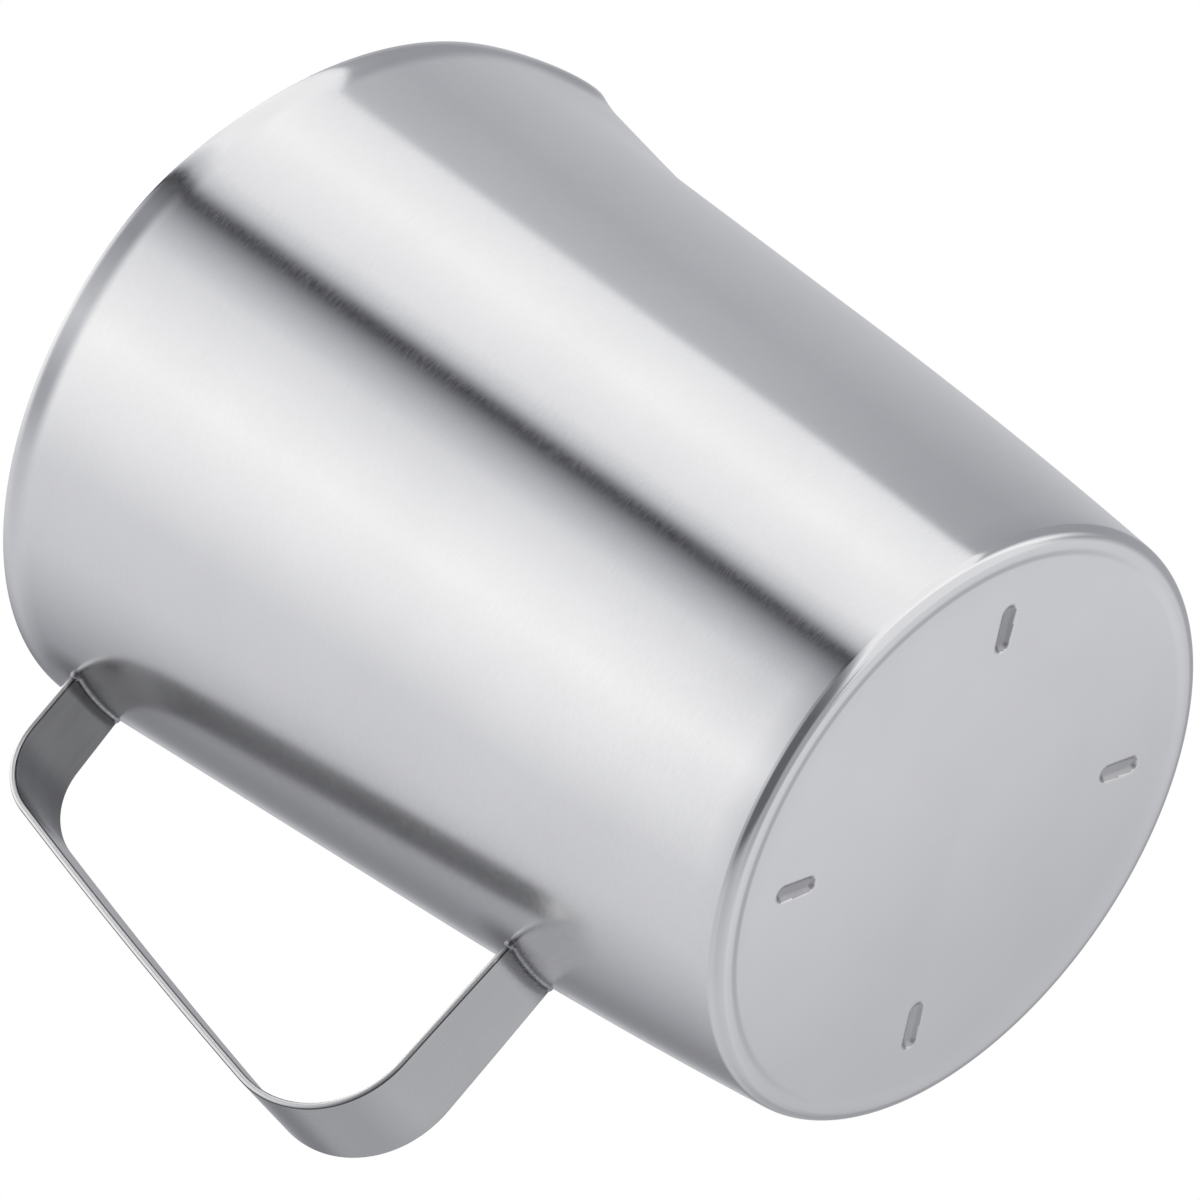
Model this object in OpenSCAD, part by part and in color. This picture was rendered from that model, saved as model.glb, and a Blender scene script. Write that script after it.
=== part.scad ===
// A measuring jug of one litre, drawn from stainless sheet, with a rim that
// falls towards a pressed spout and a strap handle welded to the wall.
// The jug stands on z = 0 with its axis on Z. The spout points to +X and the
// handle to -X. Angles round the axis are counted from the spout.

/* [Wall] */
// Height of the rim at the back of the jug
rim_h = 138; // [125:0.5:160]
// Radius at which the wall would meet the table if its corner were sharp
base_r = 47.7; // [44:0.1:49.5]
// Height up to which the wall swells outwards, and above which it runs straight
swell_h = 61.5; // [35:0.5:85]
// Radius of the wall at that height
swell_r = 52.6; // [50.5:0.1:55.5]
// Radius that the straight wall reaches at the height of the rim
mouth_r = 56.3; // [54:0.1:62]
// Thickness of the sheet
sheet_t = 0.8; // [0.6:0.05:1.2]

/* [Rim] */
// How far the edge of the rim is turned out beyond the straight wall
flare_out = 0.6; // [0.3:0.05:1.5]
// Height of the band at the rim that is turned out
flare_h = 5; // [3:0.5:8]
// How far the rim falls from the sides of the jug to its front
rim_fall = 5.7; // [0:0.1:9]

/* [Spout] */
// How far the tip dips below the rim beside it
tip_dip = 5.1; // [2:0.1:8]
// How far the keel of the spout stands out from the wall at the tip
keel_out = 3.3; // [2:0.1:7]
// Height of the keel from its foot up to the tip
keel_h = 24; // [16:0.5:34]
// Angle on each side over which the spout fades at the tip
tip_spread = 11.5; // [8:0.5:18]
// The same angle at the foot of the keel
foot_spread = 8; // [5:0.5:12]

/* [Base] */
// Outer radius of the corner between the base and the wall
corner_r = 2.2; // [1.6:0.1:3.5]
// Width of the flat ring that the jug stands on
foot_w = 0.6; // [0.4:0.1:2]
// How far the middle of the base is raised off the table
panel_lift = 0.2; // [0.15:0.05:0.6]
// Width of the slope between the standing ring and the raised middle
panel_step_w = 1; // [0.6:0.1:2]

/* [Stamped recesses] */
// Number of recesses in the base, spread evenly round the axis
recess_count = 4; // [2:1:6]
// Radius of the circle on which their middles lie
recess_ring_r = 33.3; // [24:0.1:37]
// Length of a recess along the radius
recess_l = 7.8; // [5:0.1:11]
// Width of a recess
recess_w = 2.9; // [2:0.1:4]
// Depth of a recess
recess_depth = 0.6; // [0.3:0.05:0.7]

/* [Level marks] */
// Contents between one mark and the next, in millilitres
mark_step_ml = 100; // [50:50:250]
// Where the marks are round the wall, as an angle from the spout
mark_az = 90; // [60:1:120]
// Length of every second mark, measured along the wall
long_mark_l = 16; // [10:0.5:24]
// Length of the marks between them
short_mark_l = 9; // [5:0.5:16]
// Height of the line that a mark makes
mark_w = 0.6; // [0.4:0.05:1]
// Depth of that line
mark_depth = 0.15; // [0.1:0.01:0.2]

/* [Handle] */
// Width of the strap in the middle of the grip
strap_w = 18.2; // [14:0.1:22]
// Width of the strap at its welded ends
end_w = 15.7; // [12:0.1:18]
// Length over which the strap narrows towards each end
taper_l = 56; // [20:1:60]
// Thickness of the strap
strap_t = 1.1; // [0.9:0.05:1.5]
// Radius to which the strap's edges are rounded
edge_r = 0.4; // [0.2:0.05:0.45]
// How far the top face of the upper arm lies below the rim at the back
upper_arm_drop = 8.6; // [7:0.1:20]
// Radius of the upper bend, measured on the outer face
upper_bend_r = 11.4; // [7:0.1:15]
// Distance from the jug's axis to the middle of the upper bend
upper_bend_x = 65.1; // [60:0.1:72]
// Radius of the lower bend, measured on the outer face
lower_bend_r = 16.6; // [9:0.1:20]
// Distance from the jug's axis to the middle of the lower bend
lower_bend_x = 73; // [68:0.1:84]
// Height of the middle of the lower bend
lower_bend_z = 58.9; // [48:0.1:70]
// Angle at which the lower arm falls towards the wall
lower_arm_tilt = 2.6; // [0:0.1:9]
// Radius of the slight bow in the grip between the two bends
grip_bow_r = 1200; // [200:10:2000]

/* [Welds] */
// Height and depth of the weld bead along the strap's end
bead_r = 0.5; // [0.35:0.05:0.8]
// Radius of the lump of weld metal at each corner of the strap's end
lump_r = 0.95; // [0.85:0.05:1.4]

/* [Hidden] */
$fn = 96;

overrun = 1;
steel = [0.78, 0.79, 0.8];
bright_steel = [0.86, 0.87, 0.88];

// Wall
wall_lean = (mouth_r - swell_r) / (rim_h - swell_h);
belly = swell_r - wall_lean * swell_h - base_r;
base_lean_angle = atan(wall_lean + 2 * belly / swell_h);

// Corner and standing ring
corner_back = corner_r * tan(45 - base_lean_angle / 2);
corner_x = base_r - corner_back;
corner_top = corner_r * (1 - sin(base_lean_angle));
foot_in_r = corner_x - foot_w;
panel_r = foot_in_r - panel_step_w;
corner_steps = 6;
swell_bands = 7;
flare_shares = [1, 0.62, 0.32, 0.12, 0];

// Front of the jug, which is one formed skin from the seam up to the rim
front_span = 100;
tip_z = rim_h - rim_fall - tip_dip;
keel_foot_z = tip_z - keel_h;
keel_blend_share = 0.12;
seam_drop_share = 0.3;
seam_z = keel_foot_z - seam_drop_share * keel_h;
lap = 1;
lap_angle = lap / mouth_r * 180 / PI;
skin_columns = 64;
skin_rise_rows = 9;
fine_column_share = 0.65;
crest_power = 1.5;
skin_inset = sheet_t / 40;
seam_ledge = sheet_t / 10;
seam_fade_h = 4 * lap;

// Bends of the handle
bend_steps = 9;
arm_steps = 3;
bow_steps = 5;
flat_steps = 8;
edge_steps = 3;
seat_gap = 0.01;
upper_arm_z = rim_h - upper_arm_drop;
upper_bend = [-upper_bend_x, upper_arm_z - upper_bend_r];
lower_bend = [-lower_bend_x, lower_bend_z];
grip = grip_centre();
grip_start = position_angle(grip, upper_bend);
grip_end = position_angle(grip, lower_bend);
lower_bend_end = 270 - lower_arm_tilt;
lower_arm_start = lower_bend + lower_bend_r * [cos(lower_bend_end), sin(lower_bend_end)];
lower_arm_z = lower_arm_start[1] - (-lower_arm_start[0] - wall_r(lower_arm_start[1])) * tan(lower_arm_tilt);

// Radius of the outer face of the wall at height z, without flare and spout
function wall_r(z) = swell_r + wall_lean * (z - swell_h) - belly * pow(max(0, 1 - z / swell_h), 2);

// How far the rim's band is turned out at a drop below the edge of the rim
function flare(drop) = flare_out * pow(max(0, 1 - drop / flare_h), 2);

// Points of an arc round a centre, from one angle to another
function arc(centre, r, from, to, steps) =
    [for (i = [0 : steps]) let (a = from + (to - from) * i / steps) centre + r * [cos(a), sin(a)]];

// Points of the wall's face above the corner, at a distance inside its outer face
function wall_face(inside) = concat(
    [for (i = [1 : swell_bands]) let (z = corner_top + (swell_h - corner_top) * i / swell_bands)
        [wall_r(z) - inside, z]],
    [for (share = flare_shares) let (drop = share * flare_h)
        [wall_r(rim_h - drop) + flare(drop) - inside, rim_h - drop]]);

// Points of the base and the corner at a distance inside their outer face
function base_face(inside) = concat(
    [[0, panel_lift + inside], [panel_r, panel_lift + inside], [foot_in_r, inside]],
    arc([corner_x, corner_r], corner_r - inside, -90, -base_lean_angle, corner_steps));

function reversed(points) = [for (i = [len(points) - 1 : -1 : 0]) points[i]];

// A straight line that turns smoothly into zero below the blend, and its slope is 1 above it
function ramp(s, blend) = s >= blend ? s : s <= -blend ? 0 : pow(s + blend, 2) / (4 * blend);

// Bell over an angle with a slightly rounded crest
function bell(a, spread) = exp(-pow(abs(a) / spread, crest_power));

// Height of the rim at an angle from the spout
function rim_z(a) = rim_h - rim_fall * ramp(cos(a), -cos(front_span)) - tip_dip * bell(a, tip_spread);

// How far the spout stands out from the wall
function spout_out(a, z) =
    let (s = (z - keel_foot_z) / keel_h, spread = foot_spread + (tip_spread - foot_spread) * min(1, max(0, s)))
    keel_out * ramp(s, keel_blend_share) * bell(a, spread);

function skin_r(a, z) = wall_r(z) + flare(rim_z(a) - z) + spout_out(a, z);

// How far both faces of the front skin draw back into the sheet, most of all at the seam
function drawn_back(z) = skin_inset + seam_ledge * min(1, max(0, 1 - (z - seam_z) / seam_fade_h));

// Heights of the rows of the front skin at an angle from the spout
function skin_heights(a) =
    let (edge = rim_z(a) - skin_inset, top = edge - flare_h)
    concat([seam_z - lap],
           [for (i = [0 : skin_rise_rows]) seam_z + (top - seam_z) * i / skin_rise_rows],
           [for (i = [1 : len(flare_shares) - 1]) edge - flare_shares[i] * flare_h]);

// Angle of a column of the front skin, with the columns closer together at the spout
function column_angle(i) =
    let (u = 2 * i / skin_columns - 1)
    (front_span + lap_angle) * (fine_column_share * u + (1 - fine_column_share) * pow(u, 3));

// Contents of the jug up to height z
function contents(z, slices = 30) =
    let (floor_z = panel_lift + sheet_t, dz = (z - floor_z) / slices)
    PI * dz * sum([for (i = [0 : slices - 1]) pow(wall_r(floor_z + (i + 0.5) * dz) - sheet_t, 2)]);

function sum(list, i = 0, total = 0) = i == len(list) ? total : sum(list, i + 1, total + list[i]);

// Height at which the jug holds a volume, found by halving
function level_z(volume, low = 0, high = rim_h, turns = 24) =
    let (middle = (low + high) / 2)
    turns == 0 ? middle
        : contents(middle) < volume ? level_z(volume, middle, high, turns - 1)
        : level_z(volume, low, middle, turns - 1);

// Middle of the grip's bow, which meets both bends without a corner
function grip_centre() =
    let (apart = lower_bend - upper_bend, d = norm(apart), along = apart / d,
         d1 = grip_bow_r - upper_bend_r, d2 = grip_bow_r - lower_bend_r,
         a = (d1 * d1 - d2 * d2 + d * d) / (2 * d), h = sqrt(d1 * d1 - a * a))
    upper_bend + a * along + h * [-along[1], along[0]];

function position_angle(from, to) = let (a = atan2(to[1] - from[1], to[0] - from[0])) a < 0 ? a + 360 : a;

// The space inside the outer face of the wall and base, as a solid
module wall_form() {
    rotate_extrude()
        polygon(concat(base_face(0), wall_face(0), [[0, rim_h]]));
}

module drawn_shell() {
    difference() {
        rotate_extrude()
            polygon(concat(base_face(0), wall_face(0), reversed(concat(base_face(sheet_t), wall_face(sheet_t)))));
        // Everything above the seam and in front belongs to the formed skin
        translate([0, 0, seam_z])
            rotate_extrude(angle = 2 * front_span, start = -front_span)
                square([mouth_r + flare_out + overrun, rim_h - seam_z + overrun]);
    }
}

// Front of the wall with the falling rim and the spout, as a sheet of even thickness
module formed_skin() {
    angles = [for (i = [0 : skin_columns]) column_angle(i)];
    rows = len(skin_heights(0));
    points = [for (inner_face = [false, true])
        for (a = angles) for (z = skin_heights(a))
            let (inside = inner_face ? sheet_t - 2 * skin_inset - drawn_back(z) : drawn_back(z),
                 r = skin_r(a, z) - inside)
            [r * cos(a), r * sin(a), z]];
    inner = len(angles) * rows;
    last = skin_columns * rows;
    skin_faces = [for (i = [0 : skin_columns - 1]) for (j = [0 : rows - 2])
        let (p = i * rows + j, q = p + rows)
        each [[p, p + 1, q + 1], [p, q + 1, q],
              [inner + p, inner + q + 1, inner + p + 1], [inner + p, inner + q, inner + q + 1]]];
    edge_faces = [for (i = [0 : skin_columns - 1])
        let (p = i * rows, q = p + rows, top = rows - 1)
        each [[p, q, inner + q], [p, inner + q, inner + p],
              [p + top, inner + p + top, inner + q + top], [p + top, inner + q + top, q + top]]];
    side_faces = [for (j = [0 : rows - 2])
        each [[j, inner + j, inner + j + 1], [j, inner + j + 1, j + 1],
              [last + j, last + j + 1, inner + last + j + 1], [last + j, inner + last + j + 1, inner + last + j]]];
    polyhedron(points, concat(skin_faces, edge_faces, side_faces));
}

// Trough with round ends, lying along the radius, that reaches up to a height above the panel
module trough(length, width, height) {
    r = (width * width / 4 + height * height) / (2 * height);
    half = length / 2 - width / 2;
    translate([0, 0, height - r]) {
        translate([-half, 0, 0]) rotate([0, 90, 0]) cylinder(r = r, h = 2 * half);
        for (side = [-1, 1]) translate([side * half, 0, 0]) sphere(r = r);
    }
}

module at_recesses() {
    for (i = [0 : recess_count - 1])
        rotate([0, 0, (i + 0.5) * 360 / recess_count])
            translate([recess_ring_r, 0, panel_lift])
                children();
}

// Metal that a recess pushes up on the inside, cut off below the middle of the sheet
module recess_bump() {
    bump_l = recess_l + 2 * sheet_t;
    bump_w = recess_w + 2 * sheet_t;
    intersection() {
        trough(bump_l, bump_w, recess_depth + sheet_t);
        translate([-bump_l / 2, -bump_w / 2, sheet_t / 2])
            cube([bump_l, bump_w, recess_depth + sheet_t]);
    }
}

module level_marks() {
    step = mark_step_ml * 1000;
    marks = floor(contents(tip_z - flare_h) / step);
    for (i = [1 : marks]) {
        z = level_z(i * step);
        r = wall_r(z) - sheet_t;
        mark_l = i % 2 == 0 ? long_mark_l : short_mark_l;
        turn = mark_l / r * 180 / PI;
        rotate_extrude(angle = turn, start = mark_az - turn / 2)
            translate([r - overrun, z - mark_w / 2])
                square([overrun + mark_depth, mark_w]);
    }
}

module body() {
    color(steel)
        difference() {
            union() {
                drawn_shell();
                formed_skin();
                at_recesses() recess_bump();
            }
            at_recesses() trough(recess_l, recess_w, recess_depth);
            level_marks();
        }
}

// Outline of the strap's section, with its outer face on x = 0 and its edges rounded.
// It starts and ends at one edge, so that points at equal places from its two ends face each other.
function strap_outline() =
    let (flat_y = strap_w / 2 - edge_r, deep = strap_t - edge_r)
    concat(arc([-edge_r, -flat_y], edge_r, 270, 360 - 90 / edge_steps, edge_steps - 1),
           [for (i = [0 : flat_steps - 1]) [0, flat_y * (2 * i / flat_steps - 1)]],
           arc([-edge_r, flat_y], edge_r, 0, 90, edge_steps),
           arc([-deep, flat_y], edge_r, 90, 180, edge_steps),
           [for (i = [1 : flat_steps - 1]) [-strap_t, flat_y * (1 - 2 * i / flat_steps)]],
           arc([-deep, -flat_y], edge_r, 180, 270, edge_steps));

// Stations round a bend. Each is a point of the outer face in the plane y = 0 and the
// angle that this face looks along.
function bend_stations(middle, r, from, to, steps) =
    [for (i = [0 : steps]) let (a = from + (to - from) * i / steps) [middle + r * [cos(a), sin(a)], a]];

// Stations of a straight arm, without the end that its bend has already
function arm_stations(from, to, facing, skipped) =
    [for (i = [skipped : arm_steps - 1 + skipped]) [from + (to - from) * i / arm_steps, facing]];

function stations() = concat(
    arm_stations([-wall_r(upper_arm_z), upper_arm_z], [-upper_bend_x, upper_arm_z], 90, 0),
    bend_stations(upper_bend, upper_bend_r, 90, grip_start, bend_steps),
    [for (i = [1 : bow_steps - 1]) let (a = grip_start + (grip_end - grip_start) * i / bow_steps)
        [grip + grip_bow_r * [cos(a), sin(a)], a]],
    bend_stations(lower_bend, lower_bend_r, grip_end, lower_bend_end, bend_steps),
    arm_stations(lower_arm_start, [-wall_r(lower_arm_z), lower_arm_z], lower_bend_end, 1));

// Length of the strap from its upper end up to a station
function run(stops, i) = i == 0 ? 0 : run(stops, i - 1) + norm(stops[i][0] - stops[i - 1][0]);

// Width of the strap at a distance from its nearer end
function width_at(s) = strap_w - (strap_w - end_w) * pow(max(0, 1 - s / taper_l), 2);

// A point of an arm's end, moved along the arm until it lies on the wall
function seated(point, facing) =
    let (r = wall_r(point[2]) + seat_gap, slide = -sqrt(r * r - point[1] * point[1]) - point[0])
    point + slide * [1, 0, tan(facing + 90)];

// The strap's section carried along its stations
module handle_strap() {
    outline = strap_outline();
    stops = stations();
    n = len(outline);
    last = len(stops) - 1;
    whole = run(stops, last);
    points = [for (i = [0 : last]) for (p = outline)
        let (facing = stops[i][1], s = run(stops, i), narrowing = (strap_w - width_at(min(s, whole - s))) / 2,
             at = stops[i][0] + p[0] * [cos(facing), sin(facing)],
             y = p[1] * (1 - narrowing / (strap_w / 2)), point = [at[0], y, at[1]])
        i == 0 || i == last ? seated(point, facing) : point];
    walls = [for (i = [0 : last - 1]) for (j = [0 : n - 1])
        let (a = i * n + j, b = i * n + (j + 1) % n)
        [a, b, b + n, a + n]];
    color(steel)
        polyhedron(points, concat(walls, end_cap(n, 0, false), end_cap(n, last * n, true)));
}

// Faces that close an end of the strap, in strips across its thickness
function end_cap(n, first, turned) =
    [for (i = [0 : n / 2 - 2])
        let (a = first + i, b = a + 1, d = first + n - 1 - i, c = d - 1)
        turned ? [a, b, c, d] : [d, c, b, a]];

// Weld metal round the end of an arm whose outer face meets the wall at a height.
// The arm's sheet lies on the side that is given, below (-1) or above (1) that face.
module weld(face_z, side) {
    low_z = min(face_z, face_z + side * strap_t);
    middle_z = low_z + strap_t / 2;
    half_turn = asin((end_w / 2 - edge_r) / wall_r(middle_z));
    slot_w = width_at(2 * lump_r);
    color(bright_steel)
        difference() {
            union() {
                for (z = [low_z, low_z + strap_t])
                    rotate_extrude(angle = 2 * half_turn, start = 180 - half_turn)
                        translate([wall_r(z), z]) circle(r = bead_r, $fn = 24);
                for (turn = [-1, 1])
                    rotate([0, 0, 180 + turn * half_turn])
                        translate([wall_r(middle_z), 0, middle_z])
                            sphere(r = lump_r, $fn = 32);
            }
            wall_form();
            translate([-wall_r(middle_z) - 2 * lump_r, -slot_w / 2, low_z])
                cube([4 * lump_r, slot_w, strap_t]);
        }
}

module upper_weld() {
    weld(upper_arm_z, -1);
}

module lower_weld() {
    weld(lower_arm_z, 1);
}

body();
handle_strap();
upper_weld();
lower_weld();
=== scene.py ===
"""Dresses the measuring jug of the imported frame.

The jug stands on z = 0 with its axis on Z, its spout towards +X and its handle
towards -X. The sizes in the fields are millimetres and turn into metres when a
piece is finished. Angles round the axis are counted from the spout.
"""

import logging
import math
from dataclasses import dataclass
from enum import Enum
from typing import Any, Iterator, Mapping, Optional, Sequence, Union

import bmesh
import bpy
from mathutils import Matrix, Vector


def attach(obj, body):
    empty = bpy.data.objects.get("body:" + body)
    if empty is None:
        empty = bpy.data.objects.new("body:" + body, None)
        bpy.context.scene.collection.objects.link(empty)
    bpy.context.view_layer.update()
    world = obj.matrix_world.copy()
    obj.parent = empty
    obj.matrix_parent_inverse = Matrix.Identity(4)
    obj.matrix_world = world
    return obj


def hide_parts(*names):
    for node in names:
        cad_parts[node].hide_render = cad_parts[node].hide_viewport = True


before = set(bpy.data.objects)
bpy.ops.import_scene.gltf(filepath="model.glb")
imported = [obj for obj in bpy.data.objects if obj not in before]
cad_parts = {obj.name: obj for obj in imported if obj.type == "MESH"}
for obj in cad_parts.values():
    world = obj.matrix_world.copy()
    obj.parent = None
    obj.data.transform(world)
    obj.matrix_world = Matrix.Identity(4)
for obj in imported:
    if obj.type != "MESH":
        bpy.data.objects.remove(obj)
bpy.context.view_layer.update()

MM = 0.001
LOG = logging.getLogger("measuring_jug")

BMesh = bmesh.types.BMesh
Point = tuple[float, float]
Colour = tuple[float, float, float]


# --- shader maths ---


class Wire:
    """One output socket of a shader tree, on which arithmetic adds Math nodes."""

    def __init__(self, graph: "Graph", socket: bpy.types.NodeSocket) -> None:
        """Keeps the tree and the socket."""
        self.graph = graph
        self.socket = socket

    def math(self, operation: str, *values: "Value") -> "Wire":
        """Adds one Math node on the given values and returns its result."""
        sockets = dict(enumerate(values))
        return self.graph.node("Math", {"operation": operation}, sockets)["Value"]

    def __add__(self, other: "Value") -> "Wire":
        """Returns the sum."""
        return self.math("ADD", self, other)

    __radd__ = __add__

    def __sub__(self, other: "Value") -> "Wire":
        """Returns the difference."""
        return self.math("SUBTRACT", self, other)

    def __rsub__(self, other: "Value") -> "Wire":
        """Returns the other value less this one."""
        return self.math("SUBTRACT", other, self)

    def __mul__(self, other: "Value") -> "Wire":
        """Returns the product."""
        return self.math("MULTIPLY", self, other)

    __rmul__ = __mul__

    def __truediv__(self, other: "Value") -> "Wire":
        """Returns the quotient."""
        return self.math("DIVIDE", self, other)

    def __rtruediv__(self, other: "Value") -> "Wire":
        """Returns the other value over this one."""
        return self.math("DIVIDE", other, self)

    def __pow__(self, other: "Value") -> "Wire":
        """Returns the power."""
        return self.math("POWER", self, other)

    def __abs__(self) -> "Wire":
        """Returns the size without its sign."""
        return self.math("ABSOLUTE", self)

    def step(self, low: float, high: float) -> "Wire":
        """Rises softly from 0 to 1 between two values.

        Args:
            low: Where the result is still 0.
            high: Where the result has become 1. It may lie below low.

        Returns:
            The mask.
        """
        settings = {"interpolation_type": "SMOOTHSTEP"}
        turned = low > high
        first, last = (high, low) if turned else (low, high)
        sockets = {"Value": self, "From Min": first, "From Max": last,
                   "To Min": float(turned), "To Max": float(not turned)}
        return self.graph.node("MapRange", settings, sockets)["Result"]


Value = Union[Wire, float, int, tuple]
Parts = tuple[Wire, Wire, Wire]


@dataclass
class Made:
    """A node that has been added, from which its outputs are taken by name."""

    graph: "Graph"
    made: bpy.types.Node

    def __getitem__(self, name: str) -> Wire:
        """Returns the output socket of that name."""
        return Wire(self.graph, self.made.outputs[name])


class Graph:
    """A shader tree under construction."""

    def __init__(self, tree: bpy.types.NodeTree) -> None:
        """Empties the tree and keeps it."""
        self.tree = tree
        tree.nodes.clear()

    def node(self, kind: str, settings: Optional[Mapping[str, Any]] = None,
             sockets: Optional[Mapping[Union[str, int], Value]] = None) -> Made:
        """Adds a node of any type.

        Args:
            kind: The node's type, without the "ShaderNode" that all of them start with.
            settings: Its properties, and under "stops" a ramp's places and colours.
            sockets: Values or links of its inputs, by name or by number.

        Returns:
            The node.
        """
        made = self.tree.nodes.new("ShaderNode" + kind)
        for name, value in (settings or {}).items():
            if name == "stops":
                self._set_stops(made.color_ramp, value)
            else:
                setattr(made, name, value)
        for name, value in (sockets or {}).items():
            if isinstance(value, Wire):
                self.tree.links.new(value.socket, made.inputs[name])
            else:
                made.inputs[name].default_value = value
        return Made(self, made)

    @staticmethod
    def _set_stops(ramp: bpy.types.ColorRamp, stops: Sequence[tuple[float, float]]) -> None:
        """Fills a ramp with grey stops.

        Args:
            ramp: The ramp.
            stops: Place and grey level of each stop.
        """
        while len(ramp.elements) < len(stops):
            ramp.elements.new(1.0)
        for element, (place, level) in zip(ramp.elements, stops):
            element.position = place
            element.color = (level, level, level, 1.0)

    def parts(self, vector: Wire) -> Parts:
        """Returns the three coordinates of a vector."""
        made = self.node("SeparateXYZ", None, {"Vector": vector})
        return made["X"], made["Y"], made["Z"]

    def vector(self, x: Value, y: Value, z: Value) -> Wire:
        """Returns a vector of three coordinates."""
        return self.node("CombineXYZ", None, {"X": x, "Y": y, "Z": z})["Vector"]

    def noise(self, place: Wire, scale: float, detail: float = 2.0, roughness: float = 0.5) -> Wire:
        """Returns a noise from 0 to 1, read at the given coordinates."""
        sockets = {"Vector": place, "Scale": scale, "Detail": detail, "Roughness": roughness}
        return self.node("TexNoise", None, sockets)["Fac"]

    def mix(self, share: Value, first: Union[Wire, Colour], second: Union[Wire, Colour]) -> Wire:
        """Mixes two colours.

        Args:
            share: How much of the second colour is taken.
            first: The first colour.
            second: The second colour.

        Returns:
            The mixed colour.
        """
        made = self.node("Mix", {"data_type": "RGBA"}).made
        sockets = [s for s in made.inputs if s.enabled]
        for socket, value in zip(sockets, (share, first, second)):
            if isinstance(value, Wire):
                self.tree.links.new(value.socket, socket)
            else:
                socket.default_value = (*value, 1.0) if isinstance(value, tuple) else value
        return Wire(self, next(s for s in made.outputs if s.enabled))


# --- finishes ---


class Flow(Enum):
    """Way in which the fine lines of a brushed surface run."""

    ROUND_AXIS = "round the jug's axis"
    ALONG_STRAP = "along the strap"
    NONE = "cast metal without lines"


# Colour of painted shade, mixed in round the welds and over one side of the base.
PAINTED_SHADE: Colour = (0.3, 0.302, 0.31)
LEAST_ROUGH = 0.04
CLOUD_SCALE = 55.0
SCRATCH_LINES, SCRATCH_RUN = 3600.0, 70.0


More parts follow.
